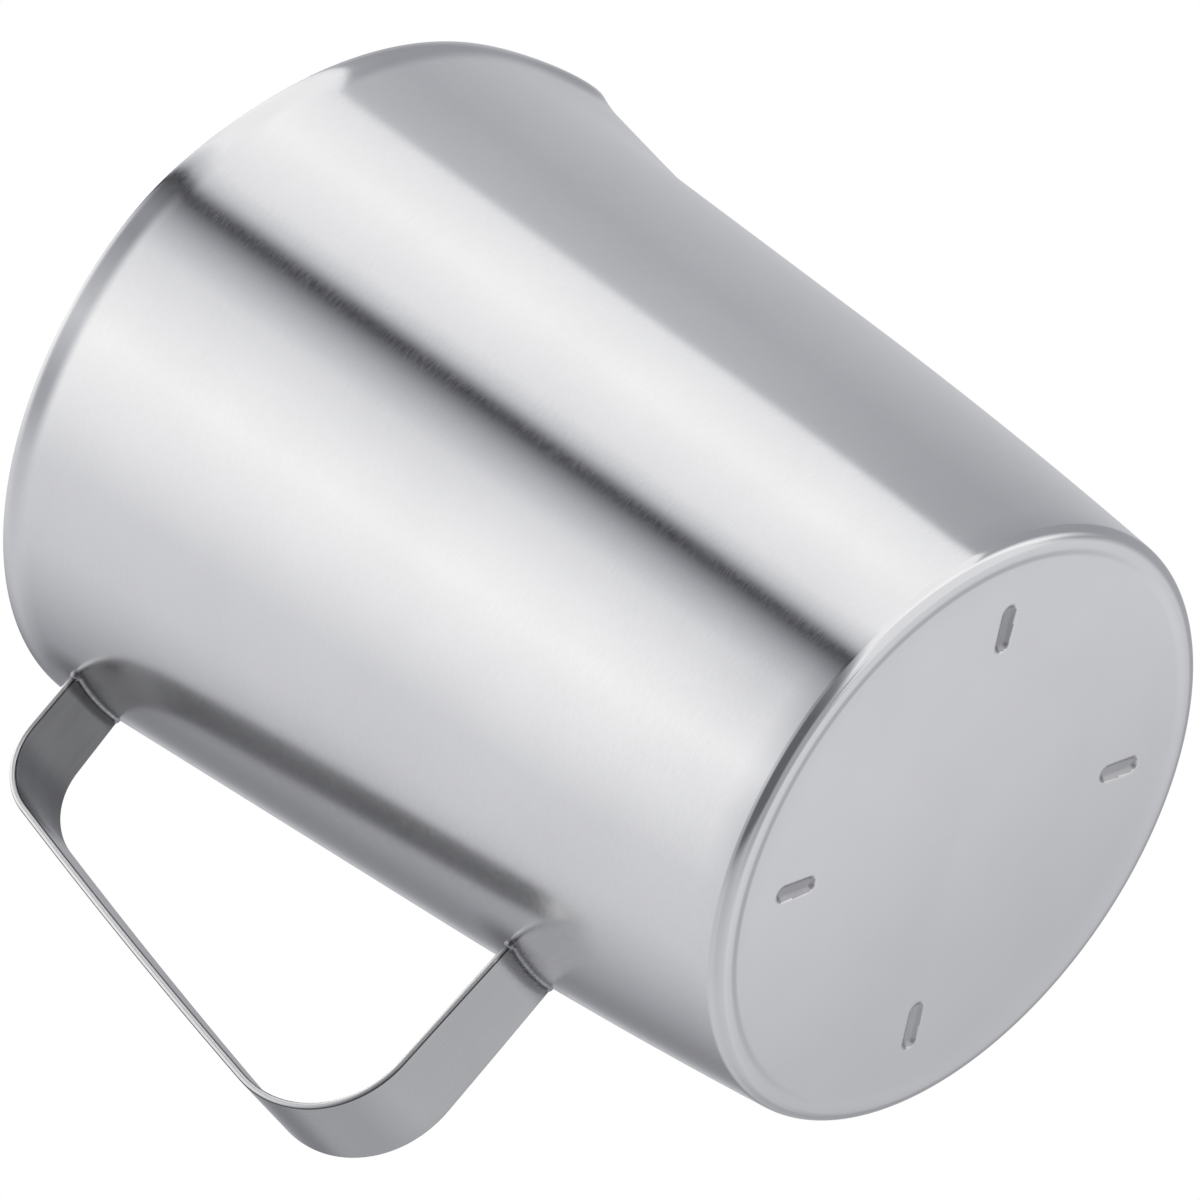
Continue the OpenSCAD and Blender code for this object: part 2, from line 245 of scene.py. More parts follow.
@dataclass(frozen=True)
class Steel:
    """A finish of bare stainless steel."""

    name: str
    tint: Colour
    shade: Colour
    roughness: float
    flow: Flow = Flow.ROUND_AXIS
    line_mm: float = 0.55
    streak_mm: float = 22.0
    relief_mm: float = 0.0004
    grain: float = 0.16
    back_roughness: float = 0.0
    back_turn: Point = (-0.62, -0.93)
    # Painted shade round the welds: centres, reach, half width and strength of the darkening.
    weld_shade_centres: tuple[Point, ...] = ()
    weld_shade_mm: float = 8.5
    weld_shade_half_w: float = 6.5
    weld_shade_strength: float = 0.85
    # Painted shade on the base: strength, slant and span of the darkening towards +Y.
    painted_base_shade: float = 0.0
    base_shade_slant: float = 0.45
    base_shade_span: Point = (-30.0, 55.0)

    def material(self) -> bpy.types.Material:
        """Builds the finish as a material, with its lines, clouding, bump and painted shade where
        it has any.

        Returns:
            The material.
        """
        material = bpy.data.materials.new(self.name)
        material.use_nodes = True
        graph = Graph(material.node_tree)
        place = graph.node("TexCoord")["Object"]
        x, y, z = parts = graph.parts(place)
        above_base = z.step(0.8 * MM, 3.0 * MM)
        lines = graph.noise(self._line_place(graph, parts), 1.0, 2.0, 0.6)
        lines = 0.5 + (lines - 0.5) * (0.25 + 0.75 * above_base)
        cloud = graph.noise(place, CLOUD_SCALE, 3.0)
        scratch = self._scratches(graph, parts)
        shading = (0.35 * lines + 0.65 * cloud).step(0.25, 0.8)
        colour = graph.mix(shading, self.tint, self.shade)
        grain = self.grain * (lines - 0.5) + 0.05 * (cloud - 0.5) + 0.06 * scratch
        rough = grain.math("MAXIMUM", self.roughness + grain, LEAST_ROUGH)
        if self.back_roughness:
            back = (x / ((x * x + y * y) ** 0.5)).step(*self.back_turn)
            rough = rough + self.back_roughness * back
        # Painted shade round each weld, standing in for the strap's dark reflection in the wall.
        for centre in self.weld_shade_centres:
            colour = graph.mix(self.weld_shade_strength * self._weld_shade(parts, centre), colour, PAINTED_SHADE)
        # Painted shade: the base turns darker towards +Y, standing in for the darker reflection on
        # that side.
        if self.painted_base_shade:
            start, end = self.base_shade_span
            across = (y - self.base_shade_slant * x).step(start * MM, end * MM)
            base_shade_mask = z.step(1.2 * MM, 0.2 * MM) * across
            colour = graph.mix(self.painted_base_shade * base_shade_mask, colour, PAINTED_SHADE)
        height = lines + 0.3 * scratch
        bump = graph.node("Bump", None, {
            "Strength": 1.0, "Distance": self.relief_mm * MM, "Height": height})
        shader = graph.node("BsdfPrincipled", None, {
            "Base Color": colour, "Metallic": 1.0, "Roughness": rough, "Normal": bump["Normal"]})
        graph.node("OutputMaterial", None, {"Surface": shader["BSDF"]})
        return material

    def _weld_shade(self, parts: Parts, centre: Point) -> Wire:
        """Masks the wall round a weld, where painted shade stands in for the strap's dark
        reflection and the shade where strap and wall meet.

        Args:
            parts: The three coordinates.
            centre: Place of the weld's middle along X and Z, in millimetres.

        Returns:
            A mask that is 1 at the weld.
        """
        x, y, z = parts
        beside = y.math("MAXIMUM", abs(y) - self.weld_shade_half_w * MM, 0.0)
        middle_x, middle_z = (place * MM for place in centre)
        away = (beside ** 2.0 + (x - middle_x) ** 2.0 + (z - middle_z) ** 2.0) ** 0.5
        return away.step(self.weld_shade_mm * MM, 0.5 * MM)

    def _line_place(self, graph: Graph, parts: Parts) -> Wire:
        """Stretches the coordinates so that a noise on them turns into fine lines.

        Args:
            graph: The material's tree.
            parts: The three coordinates.

        Returns:
            The stretched coordinates.
        """
        x, y, z = parts
        slow, quick = 1 / (self.streak_mm * MM), 1 / (self.line_mm * MM)
        if self.flow is Flow.ROUND_AXIS:
            radius = (x * x + y * y) ** 0.5
            return graph.vector(x * slow, y * slow, (z + radius) * quick)
        if self.flow is Flow.ALONG_STRAP:
            return graph.vector(x * slow, y * quick, z * slow)
        return graph.vector(x * (0.2 * quick), y * (0.2 * quick), z * (0.2 * quick))

    @staticmethod
    def _scratches(graph: Graph, parts: Parts) -> Wire:
        """Masks the few light scratches that handling leaves.

        Args:
            graph: The material's tree.
            parts: The three coordinates.

        Returns:
            A mask that is 1 in a scratch.
        """
        x, y, z = parts
        across = x * 0.52 + y * 0.5 + z * 0.69
        long_way = graph.vector(across * SCRATCH_LINES, (x - y) * SCRATCH_RUN,
                                (z - x) * SCRATCH_RUN)
        return graph.noise(long_way, 1.0, 1.0).step(0.77, 0.8)


@dataclass(frozen=True)
class EtchedMark:
    """Matt dark finish of an etched line or number."""

    name: str = "etched_mark"
    tint: Colour = (0.16, 0.16, 0.165)

    def material(self) -> bpy.types.Material:
        """Builds the finish as a material.

        Returns:
            The material.
        """
        material = bpy.data.materials.new(self.name)
        material.use_nodes = True
        graph = Graph(material.node_tree)
        place = graph.node("TexCoord")["Object"]
        grain = graph.noise(place, 9000.0, 2.0)
        lighter = tuple(1.5 * level for level in self.tint)
        colour = graph.mix(grain.step(0.3, 0.75), self.tint, lighter)
        bump = graph.node("Bump", None, {"Distance": 0.01 * MM, "Height": grain})
        shader = graph.node("BsdfPrincipled", None, {
            "Base Color": colour, "Metallic": 0.6, "Roughness": 0.5 + 0.15 * grain,
            "Normal": bump["Normal"]})
        graph.node("OutputMaterial", None, {"Surface": shader["BSDF"]})
        return material


# The shell carries painted shade round both welds and over one side of its base.
DRAWN_STEEL = Steel("brushed_shell", (0.872, 0.872, 0.878), (0.83, 0.83, 0.838), 0.11,
                    line_mm=0.25, streak_mm=1.2, back_roughness=0.1,
                    weld_shade_centres=((-51.2, 41.6), (-55.9, 128.6)), painted_base_shade=0.3)
# Recess floors: rougher steel with a darker colour, and the darker colour is painted shade in the
# recesses.
RECESS_STEEL_PAINTED_SHADE = Steel("rough_recess_painted_shade", (0.55, 0.55, 0.56), (0.36, 0.36, 0.37), 0.34, Flow.NONE,
                      line_mm=0.09, relief_mm=0.01)
STRAP_STEEL = Steel("brushed_strap", (0.6, 0.602, 0.606), (0.55, 0.552, 0.556), 0.26,
                    Flow.ALONG_STRAP, grain=0.12)
# Painted shade: a darker copy of the strap steel for the faces that look into the loop.
STRAP_INSIDE_SHADED = Steel("strap_inside_painted_shade", (0.27, 0.271, 0.275), (0.2, 0.201, 0.205), 0.22,
                     Flow.ALONG_STRAP, grain=0.12)
# Painted highlight: a brighter copy of the strap steel for the side faces.
STRAP_EDGE_HIGHLIGHT = Steel("strap_edge_painted_highlight", (0.8, 0.802, 0.806), (0.72, 0.722, 0.727), 0.34,
                   Flow.ALONG_STRAP, grain=0.1)
# Painted shade: a dark copy of the strap steel for the rounded corners, as a dark line along each
# edge.
STRAP_CORNER_SHADE = Steel("strap_corner_painted_shade", (0.16, 0.161, 0.165), (0.12, 0.121, 0.125), 0.3,
                     Flow.ALONG_STRAP, grain=0.1)
WELD_STEEL = Steel("weld_metal", (0.56, 0.56, 0.57), (0.16, 0.16, 0.17), 0.14, Flow.NONE,
                   line_mm=0.12, relief_mm=0.03, grain=0.1)


# --- small maths ---


def mix_step(low: float, high: float, value: float) -> float:
    """Rises softly from 0 to 1 as the value goes from low to high."""
    share = min(1.0, max(0.0, (value - low) / (high - low)))
    return share * share * (3 - 2 * share)


def ramp(value: float, blend: float) -> float:
    """Turns a straight line smoothly into zero.

    Args:
        value: The level of the line.
        blend: The level above which the line is left as it is.

    Returns:
        The smoothed level, which is 0 from -blend down.
    """
    if value >= blend:
        return value
    return 0.0 if value <= -blend else (value + blend) ** 2 / (4 * blend)


def arc(centre: Point, radius: float, start: float, end: float, steps: int) -> list[Point]:
    """Lists the points of an arc.

    Args:
        centre: Its centre.
        radius: Its radius.
        start: Angle of its first point, in degrees.
        end: Angle of its last point, in degrees.
        steps: Number of its chords.

    Returns:
        The points, both ends among them.
    """
    turns = [math.radians(start + (end - start) * i / steps) for i in range(steps + 1)]
    return [(centre[0] + radius * math.cos(t), centre[1] + radius * math.sin(t)) for t in turns]


def spaced(start: float, end: float, steps: int) -> list[float]:
    """Lists the ends of equal steps, both ends among them."""
    return [start + (end - start) * i / steps for i in range(steps + 1)]


# --- the jug ---


class Assembly:
    """What every sub-assembly needs to put its meshes into the scene."""

    def piece(self, bm: BMesh, name: str, finishes: Sequence[Union[Steel, EtchedMark]],
              slot: str, replaced: Sequence[str] = ()) -> bpy.types.Object:
        """Turns a mesh in millimetres into a piece that rides on the frame.

        Args:
            bm: The mesh, which is used up.
            name: The piece's name.
            finishes: Its finishes, in the order of its material numbers.
            slot: The record's material slot, which is not used.
            replaced: The CAD nodes that it stands for.

        Returns:
            The piece.
        """
        bmesh.ops.scale(bm, vec=(MM, MM, MM), verts=bm.verts)
        mesh = bpy.data.meshes.new(name)
        bm.to_mesh(mesh)
        bm.free()
        mesh.shade_smooth()
        made = bpy.data.objects.new(name, mesh)
        bpy.context.scene.collection.objects.link(made)
        for finish in finishes:
            known = bpy.data.materials.get(finish.name)
            mesh.materials.append(known or finish.material())
        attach(made, "root")
        if replaced:
            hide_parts(*replaced)
        LOG.info("%s: %d faces", name, len(mesh.polygons))
        return made


@dataclass
class JugBody(Assembly):
    """The drawn shell with its base, wall, falling rim and pressed spout."""

    rim_h: float = 138.0
    base_r: float = 47.7
    swell_h: float = 61.5
    swell_r: float = 52.6
    mouth_r: float = 56.3
    sheet_t: float = 0.8
    flare_out: float = 0.6
    flare_h: float = 5.0
    lip_h: float = 1.5
    rim_fall: float = 5.7
    tip_dip: float = 5.1
    keel_out: float = 3.3
    keel_h: float = 24.0
    tip_spread: float = 11.5
    foot_spread: float = 8.0
    corner_r: float = 2.2
    foot_w: float = 0.6
    panel_lift: float = 0.2
    panel_ramp_w: float = 1.6
    recess_count: int = 4
    recess_ring_r: float = 33.3
    recess_l: float = 7.8
    recess_w: float = 2.9
    recess_depth: float = 0.6
    recess_margin: float = 1.4
    panel_rings: tuple[float, ...] = (0.0, 7.0, 14.0, 20.0, 24.0)
    recess_band: Point = (27.0, 40.0)
    rim_drops: tuple[float, ...] = (4.3, 3.6, 2.9, 2.3, 1.8, 1.3, 0.9, 0.6)
    front_span: float = 100.0
    rim_round: float = 0.15
    columns: int = 288

    @property
    def lean(self) -> float:
        """Slope of the straight part of the wall."""
        return (self.mouth_r - self.swell_r) / (self.rim_h - self.swell_h)

    @property
    def belly(self) -> float:
        """How far the wall at the foot lies inside its straight line."""
        return self.swell_r - self.lean * self.swell_h - self.base_r

    @property
    def keel_foot_z(self) -> float:
        """Height at which the keel of the spout leaves the wall."""
        return self.rim_h - self.rim_fall - self.tip_dip - self.keel_h

    @property
    def seam_z(self) -> float:
        """Height below which the jug is a plain turned shape."""
        return self.keel_foot_z - 0.3 * self.keel_h

    def wall_r(self, z: float) -> float:
        """Radius of the outer face of the wall, without flare and spout."""
        swell = self.belly * max(0.0, 1 - z / self.swell_h) ** 2
        return self.swell_r + self.lean * (z - self.swell_h) - swell

    def flare(self, drop: float) -> float:
        """How far the rim is turned out, upright again at its edge.

        Args:
            drop: Distance below the rim's edge.

        Returns:
            Distance of the outer face outside the wall's own line.
        """
        drop = min(self.flare_h, max(0.0, drop))
        if drop < self.lip_h:
            return self.flare_out * (1 - drop ** 2 / (self.lip_h * self.flare_h))
        return self.flare_out * (self.flare_h - drop) ** 2 / (
            self.flare_h * (self.flare_h - self.lip_h))

    @staticmethod
    def bell(turn: float, spread: float) -> float:
        """Bell over an angle, with a slightly rounded crest."""
        return math.exp(-abs(turn / spread) ** 1.5)

    def rim_z(self, turn: float) -> float:
        """Height of the rim at an angle from the spout, in degrees."""
        fall = ramp(math.cos(math.radians(turn)), -math.cos(math.radians(self.front_span)))
        return self.rim_h - self.rim_fall * fall - self.tip_dip * self.bell(turn, self.tip_spread)

    def spout_out(self, turn: float, z: float) -> float:
        """How far the spout stands out from the wall.

        Args:
            turn: Angle from the spout, in degrees.
            z: Height.

        Returns:
            The distance, which fades out just below the keel's foot.
        """
        rise = (z - self.keel_foot_z) / self.keel_h
        spread = self.foot_spread + (self.tip_spread - self.foot_spread) * min(1.0, max(0.0, rise))
        return self.keel_out * ramp(rise, 0.12) * self.bell(turn, spread)

    def face(self, inside: float, corner_steps: int) -> list[Point]:
        """Lists the profile of one face of the sheet.

        Args:
            inside: Distance of the face inside the outer one.
            corner_steps: Number of chords of the corner at the base.

        Returns:
            Radius and height of each point, from the middle of the base to just below the edge.
        """
        lean_angle = math.atan(self.lean + 2 * self.belly / self.swell_h)
        corner_x = self.base_r - self.corner_r * math.tan(math.pi / 4 - lean_angle / 2)
        corner_top = self.corner_r * (1 - math.sin(lean_angle))
        foot_in = corner_x - self.foot_w
        lift = self.panel_lift + inside
        panel = [(r, lift) for r in (*self.panel_rings, *spaced(*self.recess_band, 13))]
        start = foot_in - self.panel_ramp_w
        step = [(r, lift - self.panel_lift * mix_step(start, foot_in, r))
                for r in spaced(start, foot_in, 9)]
        corner = arc((corner_x, self.corner_r), self.corner_r - inside, -90,
                     -math.degrees(lean_angle), corner_steps)
        low = [(self.wall_r(z) - inside, z) for z in spaced(corner_top, self.seam_z, 22)[1:]]
        high = [(self.wall_r(z) - inside, z)
                for z in spaced(self.seam_z, self.rim_h - self.flare_h, 12)[1:]]
        rim = [(self.wall_r(self.rim_h - d) + self.flare(d) - inside, self.rim_h - d)
               for d in self.rim_drops]
        return panel + step + corner + low + high + rim

    def profile(self) -> list[Point]:
        """Lists the closed section of the sheet.

        Returns:
            Radius and height of each point, from the axis and back to it.
        """
        r, edge_x = self.rim_round, self.wall_r(self.rim_h) + self.flare(0)
        outer = arc((edge_x - r, self.rim_h - r), r, 0, 90, 4)
        inner = arc((edge_x - self.sheet_t + r, self.rim_h - r), r, 90, 180, 4)
        return self.face(0, 14) + outer + inner + self.face(self.sheet_t, 10)[::-1]

    def build(self) -> bpy.types.Object:
        """Builds the whole body.

        Returns:
            The piece that stands for the CAD body.
        """
        bm = bmesh.new()
        rail = [bm.verts.new((r, 0, z)) for r, z in self.profile()]
        edges = [bm.edges.new(pair) for pair in zip(rail, rail[1:])]
        bmesh.ops.spin(bm, geom=[*rail, *edges], cent=(0, 0, 0), axis=(0, 0, 1),
                       angle=2 * math.pi, steps=self.columns, use_merge=True)
        bmesh.ops.remove_doubles(bm, verts=bm.verts, dist=1e-4)
        bmesh.ops.recalc_face_normals(bm, faces=bm.faces)
        self._refine_recesses(bm)
        # Faces in the recesses take the rougher finish, whose darker colour is painted shade.
        for a_face in bm.faces:
            a_face.material_index = int(self._in_recess(a_face))
        for vert in bm.verts:
            self._form_front(vert)
            self._press_recess(vert)
        return self.piece(bm, "jug_body", [DRAWN_STEEL, RECESS_STEEL_PAINTED_SHADE], "drawn_steel", ["body"])

    def _recess_place(self, x: float, y: float) -> Point:
        """Finds where a point of the base lies in its nearest recess.

        Args:
            x: Its place along X.
            y: Its place along Y.

        Returns:
            Its distance from the recess's middle along the radius, and across it.
        """
        pitch = 360 / self.recess_count
        turn = (math.degrees(math.atan2(y, x)) % pitch) - pitch / 2
        radius = math.hypot(x, y)
        return (radius * math.cos(math.radians(turn)) - self.recess_ring_r,
                radius * math.sin(math.radians(turn)))

    def _refine_recesses(self, bm: BMesh) -> None:
        """Divides the faces of the base round the recesses.

        Args:
            bm: The body's mesh.
        """
        edges = set()
        for a_face in bm.faces:
            middle = a_face.calc_center_median()
            if middle.z < self.panel_lift + self.sheet_t + 0.1:
                along, across = self._recess_place(middle.x, middle.y)
                if (abs(along) < self.recess_l / 2 + self.recess_margin
                        and abs(across) < self.recess_w / 2 + self.recess_margin):
                    edges.update(a_face.edges)
        bmesh.ops.subdivide_edges(bm, edges=list(edges), cuts=3, use_grid_fill=True)

    def _recess_reach(self, x: float, y: float, wider: float = 0.0) -> float:
        """Measures how far a point of the base is from its recess's spine.

        Args:
            x: Its place along X.
            y: Its place along Y.
            wider: How far the recess's edge is moved outwards.

        Returns:
            The distance, of which 1 reaches that edge.
        """
        along, across = self._recess_place(x, y)
        beyond = max(0.0, abs(along) - (self.recess_l - self.recess_w) / 2)
        return math.hypot(beyond, across) / (self.recess_w / 2 + wider)

    def _past_recesses(self, x: float, y: float) -> bool:
        """Whether a point lies outside the band of the base that holds the recesses."""
        return math.hypot(x, y) > self.recess_band[1] + 1

    def _in_recess(self, a_face: bmesh.types.BMFace) -> bool:
        """Finds whether a face of the underside lies in a recess.

        Args:
            a_face: A face of the body's mesh.

        Returns:
            True in a recess, and False on every other face.
        """
        middle = a_face.calc_center_median()
        if middle.z > self.panel_lift + 0.1 or self._past_recesses(middle.x, middle.y):
            return False
        return self._recess_reach(middle.x, middle.y) < 0.95

    def _press_recess(self, vert: bmesh.types.BMVert) -> None:
        """Lifts a point of the base into its recess.

        Args:
            vert: A point of the body's mesh, which stays where it is if no recess holds it.
        """
        x, y, z = vert.co
        if z > self.panel_lift + self.sheet_t + 0.05 or self._past_recesses(x, y):
            return
        wider = self.sheet_t * 0.8 if z > self.panel_lift + 0.1 else 0.0
        reach = self._recess_reach(x, y, wider)
        vert.co.z += self.recess_depth * (1 - mix_step(0.45, 1.12, reach))

    def _form_front(self, vert: bmesh.types.BMVert) -> None:
        """Moves a point of the turned shape to its place on the falling rim and the spout.

        Args:
            vert: A point of the body's mesh, which stays where it is below the seam.
        """
        x, y, z = vert.co
        if z <= self.seam_z:
            return
        turn = math.degrees(math.atan2(y, x))
        flare_foot = self.rim_h - self.flare_h
        share = min(1.0, (z - self.seam_z) / (flare_foot - self.seam_z))
        new_z = z - (self.rim_h - self.rim_z(turn)) * share
        before = self.wall_r(z) + self.flare(self.rim_h - z)
        after = (self.wall_r(new_z) + self.flare(self.rim_z(turn) - new_z)
                 + self.spout_out(turn, new_z))
        radius = math.hypot(x, y)
        vert.co.xy = Vector((x, y)) * ((radius + after - before) / radius)
        vert.co.z = new_z


@dataclass
class StrapHandle(Assembly):
    """The strap that is bent into an open loop and welded to the wall."""

    body: JugBody
    strap_w: float = 18.2
    end_w: float = 15.7
    taper_l: float = 56.0
    strap_t: float = 1.1
    edge_r: float = 0.54
    upper_arm_drop: float = 8.6
    upper_bend_r: float = 11.4
    upper_bend_x: float = 65.1
    lower_bend_r: float = 16.6
    lower_bend_x: float = 73.0
    lower_bend_z: float = 58.9
    lower_arm_tilt: float = 2.6
    grip_bow_r: float = 1200.0
    seat_gap: float = 0.01
    # Normal shares that sort the side faces into the painted highlight and the corners' painted
    # shade line.
    edge_share: float = 0.7
    corner_share: float = 0.2

    @property
    def upper_arm_z(self) -> float:
        """Height of the top face of the upper arm."""
        return self.body.rim_h - self.upper_arm_drop

    @property
    def upper_bend(self) -> Vector:
        """Middle of the upper bend, in X and Z."""
        return Vector((-self.upper_bend_x, self.upper_arm_z - self.upper_bend_r))

    @property
    def lower_bend(self) -> Vector:
        """Middle of the lower bend, in X and Z."""
        return Vector((-self.lower_bend_x, self.lower_bend_z))

    def grip_middle(self) -> Vector:
        """Finds the middle of the grip's bow, which meets both bends without a corner.

        Returns:
            The middle, in X and Z.
        """
        apart = self.lower_bend - self.upper_bend
        length, along = apart.length, apart.normalized()
        near, far = self.grip_bow_r - self.upper_bend_r, self.grip_bow_r - self.lower_bend_r
        share = (near * near - far * far + length * length) / (2 * length)
        height = math.sqrt(near * near - share * share)
        return self.upper_bend + share * along + height * Vector((-along.y, along.x))

    @staticmethod
    def bearing(start: Vector, end: Vector) -> float:
        """Angle of the line from one point to another, from 0 to 360 degrees."""
        return math.degrees(math.atan2(end.y - start.y, end.x - start.x)) % 360

    @property
    def lower_end_angle(self) -> float:
        """Angle that the outer face looks along at the end of the lower bend."""
        return 270 - self.lower_arm_tilt

    @property
    def lower_arm_z(self) -> float:
        """Finds where the outer face of the lower arm meets the wall.

        Returns:
            The height.
        """
        turn = math.radians(self.lower_end_angle)
        start = self.lower_bend + self.lower_bend_r * Vector((math.cos(turn), math.sin(turn)))
        reach = -start.x - self.body.wall_r(start.y)
        return start.y - reach * math.tan(math.radians(self.lower_arm_tilt))

    def middle_line(self) -> list[Vector]:
        """Lists points of the outer face's middle line.

        Returns:
            The points in X and Z, from the upper end to the lower one.
        """
        grip = self.grip_middle()
        start, end = self.bearing(grip, self.upper_bend), self.bearing(grip, self.lower_bend)
        body, low = self.body, self.lower_arm_z
        bends = (arc(tuple(self.upper_bend), self.upper_bend_r, 90, start, 28)
                 + arc(tuple(grip), self.grip_bow_r, start, end, 16)
                 + arc(tuple(self.lower_bend), self.lower_bend_r, end, self.lower_end_angle, 28))
        first, last = Vector((-body.wall_r(self.upper_arm_z), self.upper_arm_z)), Vector(bends[-1])
        to_wall = Vector((-body.wall_r(low), low)) - last
        arms = [first.lerp(Vector(bends[0]), i / 4) for i in range(4)]
        return arms + [Vector(p) for p in bends] + [last + to_wall * i / 8 for i in range(1, 9)]

    def section(self) -> list[Point]:
        """Lists the strap's section.

        Returns:
            Place across the strap and depth below its outer face of each point.
        """
        flat, deep, r = self.strap_w / 2 - self.edge_r, self.strap_t - self.edge_r, self.edge_r
        top = [(y, 0.0) for y in (-flat + 0.12, *spaced(-6, 6, 4), flat - 0.12)]
        corners = [arc((flat, r), r, -90, 0, 6), arc((flat, deep), r, 0, 90, 6),
                   arc((-flat, deep), r, 90, 180, 6), arc((-flat, r), r, 180, 270, 6)]
        under = [(y, self.strap_t) for y, _ in reversed(top)]
        return [*top, *corners[0], *corners[1], *under, *corners[2], *corners[3]]

    def build(self) -> bpy.types.Object:
        """Builds the strap.

        Returns:
            The piece that stands for the CAD strap.
        """
        bm = bmesh.new()
        start_x = -self.body.wall_r(self.upper_arm_z)
        loop = [bm.verts.new((start_x, y, self.upper_arm_z - d)) for y, d in self.section()]
        first = list(loop)
        edges = [bm.edges.new((a, b)) for a, b in zip(loop, loop[1:] + loop[:1])]
        geom: list[Any] = [*loop, *edges]
        geom = self._carry(bm, geom, 4, way=Vector((-self.upper_bend_x - start_x, 0, 0)))
        grip = self.grip_middle()
        grip_start = self.bearing(grip, self.upper_bend)
        grip_end = self.bearing(grip, self.lower_bend)
        geom = self._carry(bm, geom, 28, self.upper_bend, grip_start - 90)
        geom = self._carry(bm, geom, 16, grip, grip_end - grip_start)
        geom = self._carry(bm, geom, 28, self.lower_bend, self.lower_end_angle - grip_end)
        tilt = math.radians(self.lower_arm_tilt)
        reach = self.lower_bend_x - self.body.wall_r(self.lower_arm_z)
        geom = self._carry(bm, geom, 8, way=Vector((reach, 0, -reach * math.tan(tilt))))
        last = [v for v in geom if isinstance(v, bmesh.types.BMVert)]
        self._narrow(bm)
        for ends, slope in ((first, 0.0), (last, -math.tan(tilt))):
            for vert in ends:
                self._seat(vert, slope)
            rim = {e for v in ends for e in v.link_edges if e.other_vert(v) in ends}
            bmesh.ops.holes_fill(bm, edges=list(rim), sides=0)
        bmesh.ops.recalc_face_normals(bm, faces=bm.faces)
        middle = Vector((-self.upper_bend_x, 0, (self.upper_arm_z + self.lower_bend_z) / 2))
        for a_face in bm.faces:
            away = (a_face.calc_center_median() - middle) * Vector((1, 0, 1))
            # Side faces: the steep ones take a painted highlight, and the rounded corners a painted
            # shade line.
            if abs(a_face.normal.y) > self.corner_share:
                a_face.material_index = 2 + int(abs(a_face.normal.y) < self.edge_share)
            else:
                # Faces that look into the loop take the painted shade.
                a_face.material_index = int(a_face.normal.dot(away.normalized()) < -0.25)
        finishes = [STRAP_STEEL, STRAP_INSIDE_SHADED, STRAP_EDGE_HIGHLIGHT, STRAP_CORNER_SHADE]
        return self.piece(bm, "strap", finishes, "strap_steel", ["handle_strap"])

    def _narrow(self, bm: BMesh) -> None:
        """Narrows the strap from the middle of the grip towards both of its ends.

        Args:
            bm: The strap's mesh.
        """
        line = self.middle_line()
        runs = [0.0]
        for start, end in zip(line, line[1:]):
            runs.append(runs[-1] + (end - start).length)
        for vert in bm.verts:
            place = Vector((vert.co.x, vert.co.z))
            run = min(zip(line, runs), key=lambda stop: (stop[0] - place).length_squared)[1]
            to_end = max(0.0, 1 - min(run, runs[-1] - run) / self.taper_l)
            vert.co.y *= 1 - (self.strap_w - self.end_w) * to_end ** 2 / self.strap_w

    def _seat(self, vert: bmesh.types.BMVert, slope: float) -> None:
        """Slides a point of an arm's end along the arm until it lies on the wall.

        Args:
            vert: The point.
            slope: The arm's rise along X.
        """
        radius = self.body.wall_r(vert.co.z) + self.seat_gap
        slide = -math.sqrt(radius ** 2 - vert.co.y ** 2) - vert.co.x
        vert.co.x += slide
        vert.co.z += slide * slope

    @staticmethod
    def _carry(bm: BMesh, geom: list[Any], steps: int, middle: Vector = Vector((0, 0)),
               angle: float = 0.0, way: Vector = Vector((0, 0, 0))) -> list[Any]:
        """Carries the section round a bend, or straight on.

        Args:
            bm: The strap's mesh.
            geom: Points and edges of its last section.
            steps: Number of steps.
            middle: Middle of the bend, in X and Z.
            angle: Angle of the bend, in degrees.
            way: The whole straight way.

        Returns:
            Points and edges of the new last section.
        """
        return bmesh.ops.spin(bm, geom=geom, cent=(middle.x, 0, middle.y), axis=(0, -1, 0),
                              dvec=way / steps, angle=math.radians(angle),
                              steps=steps)["geom_last"]


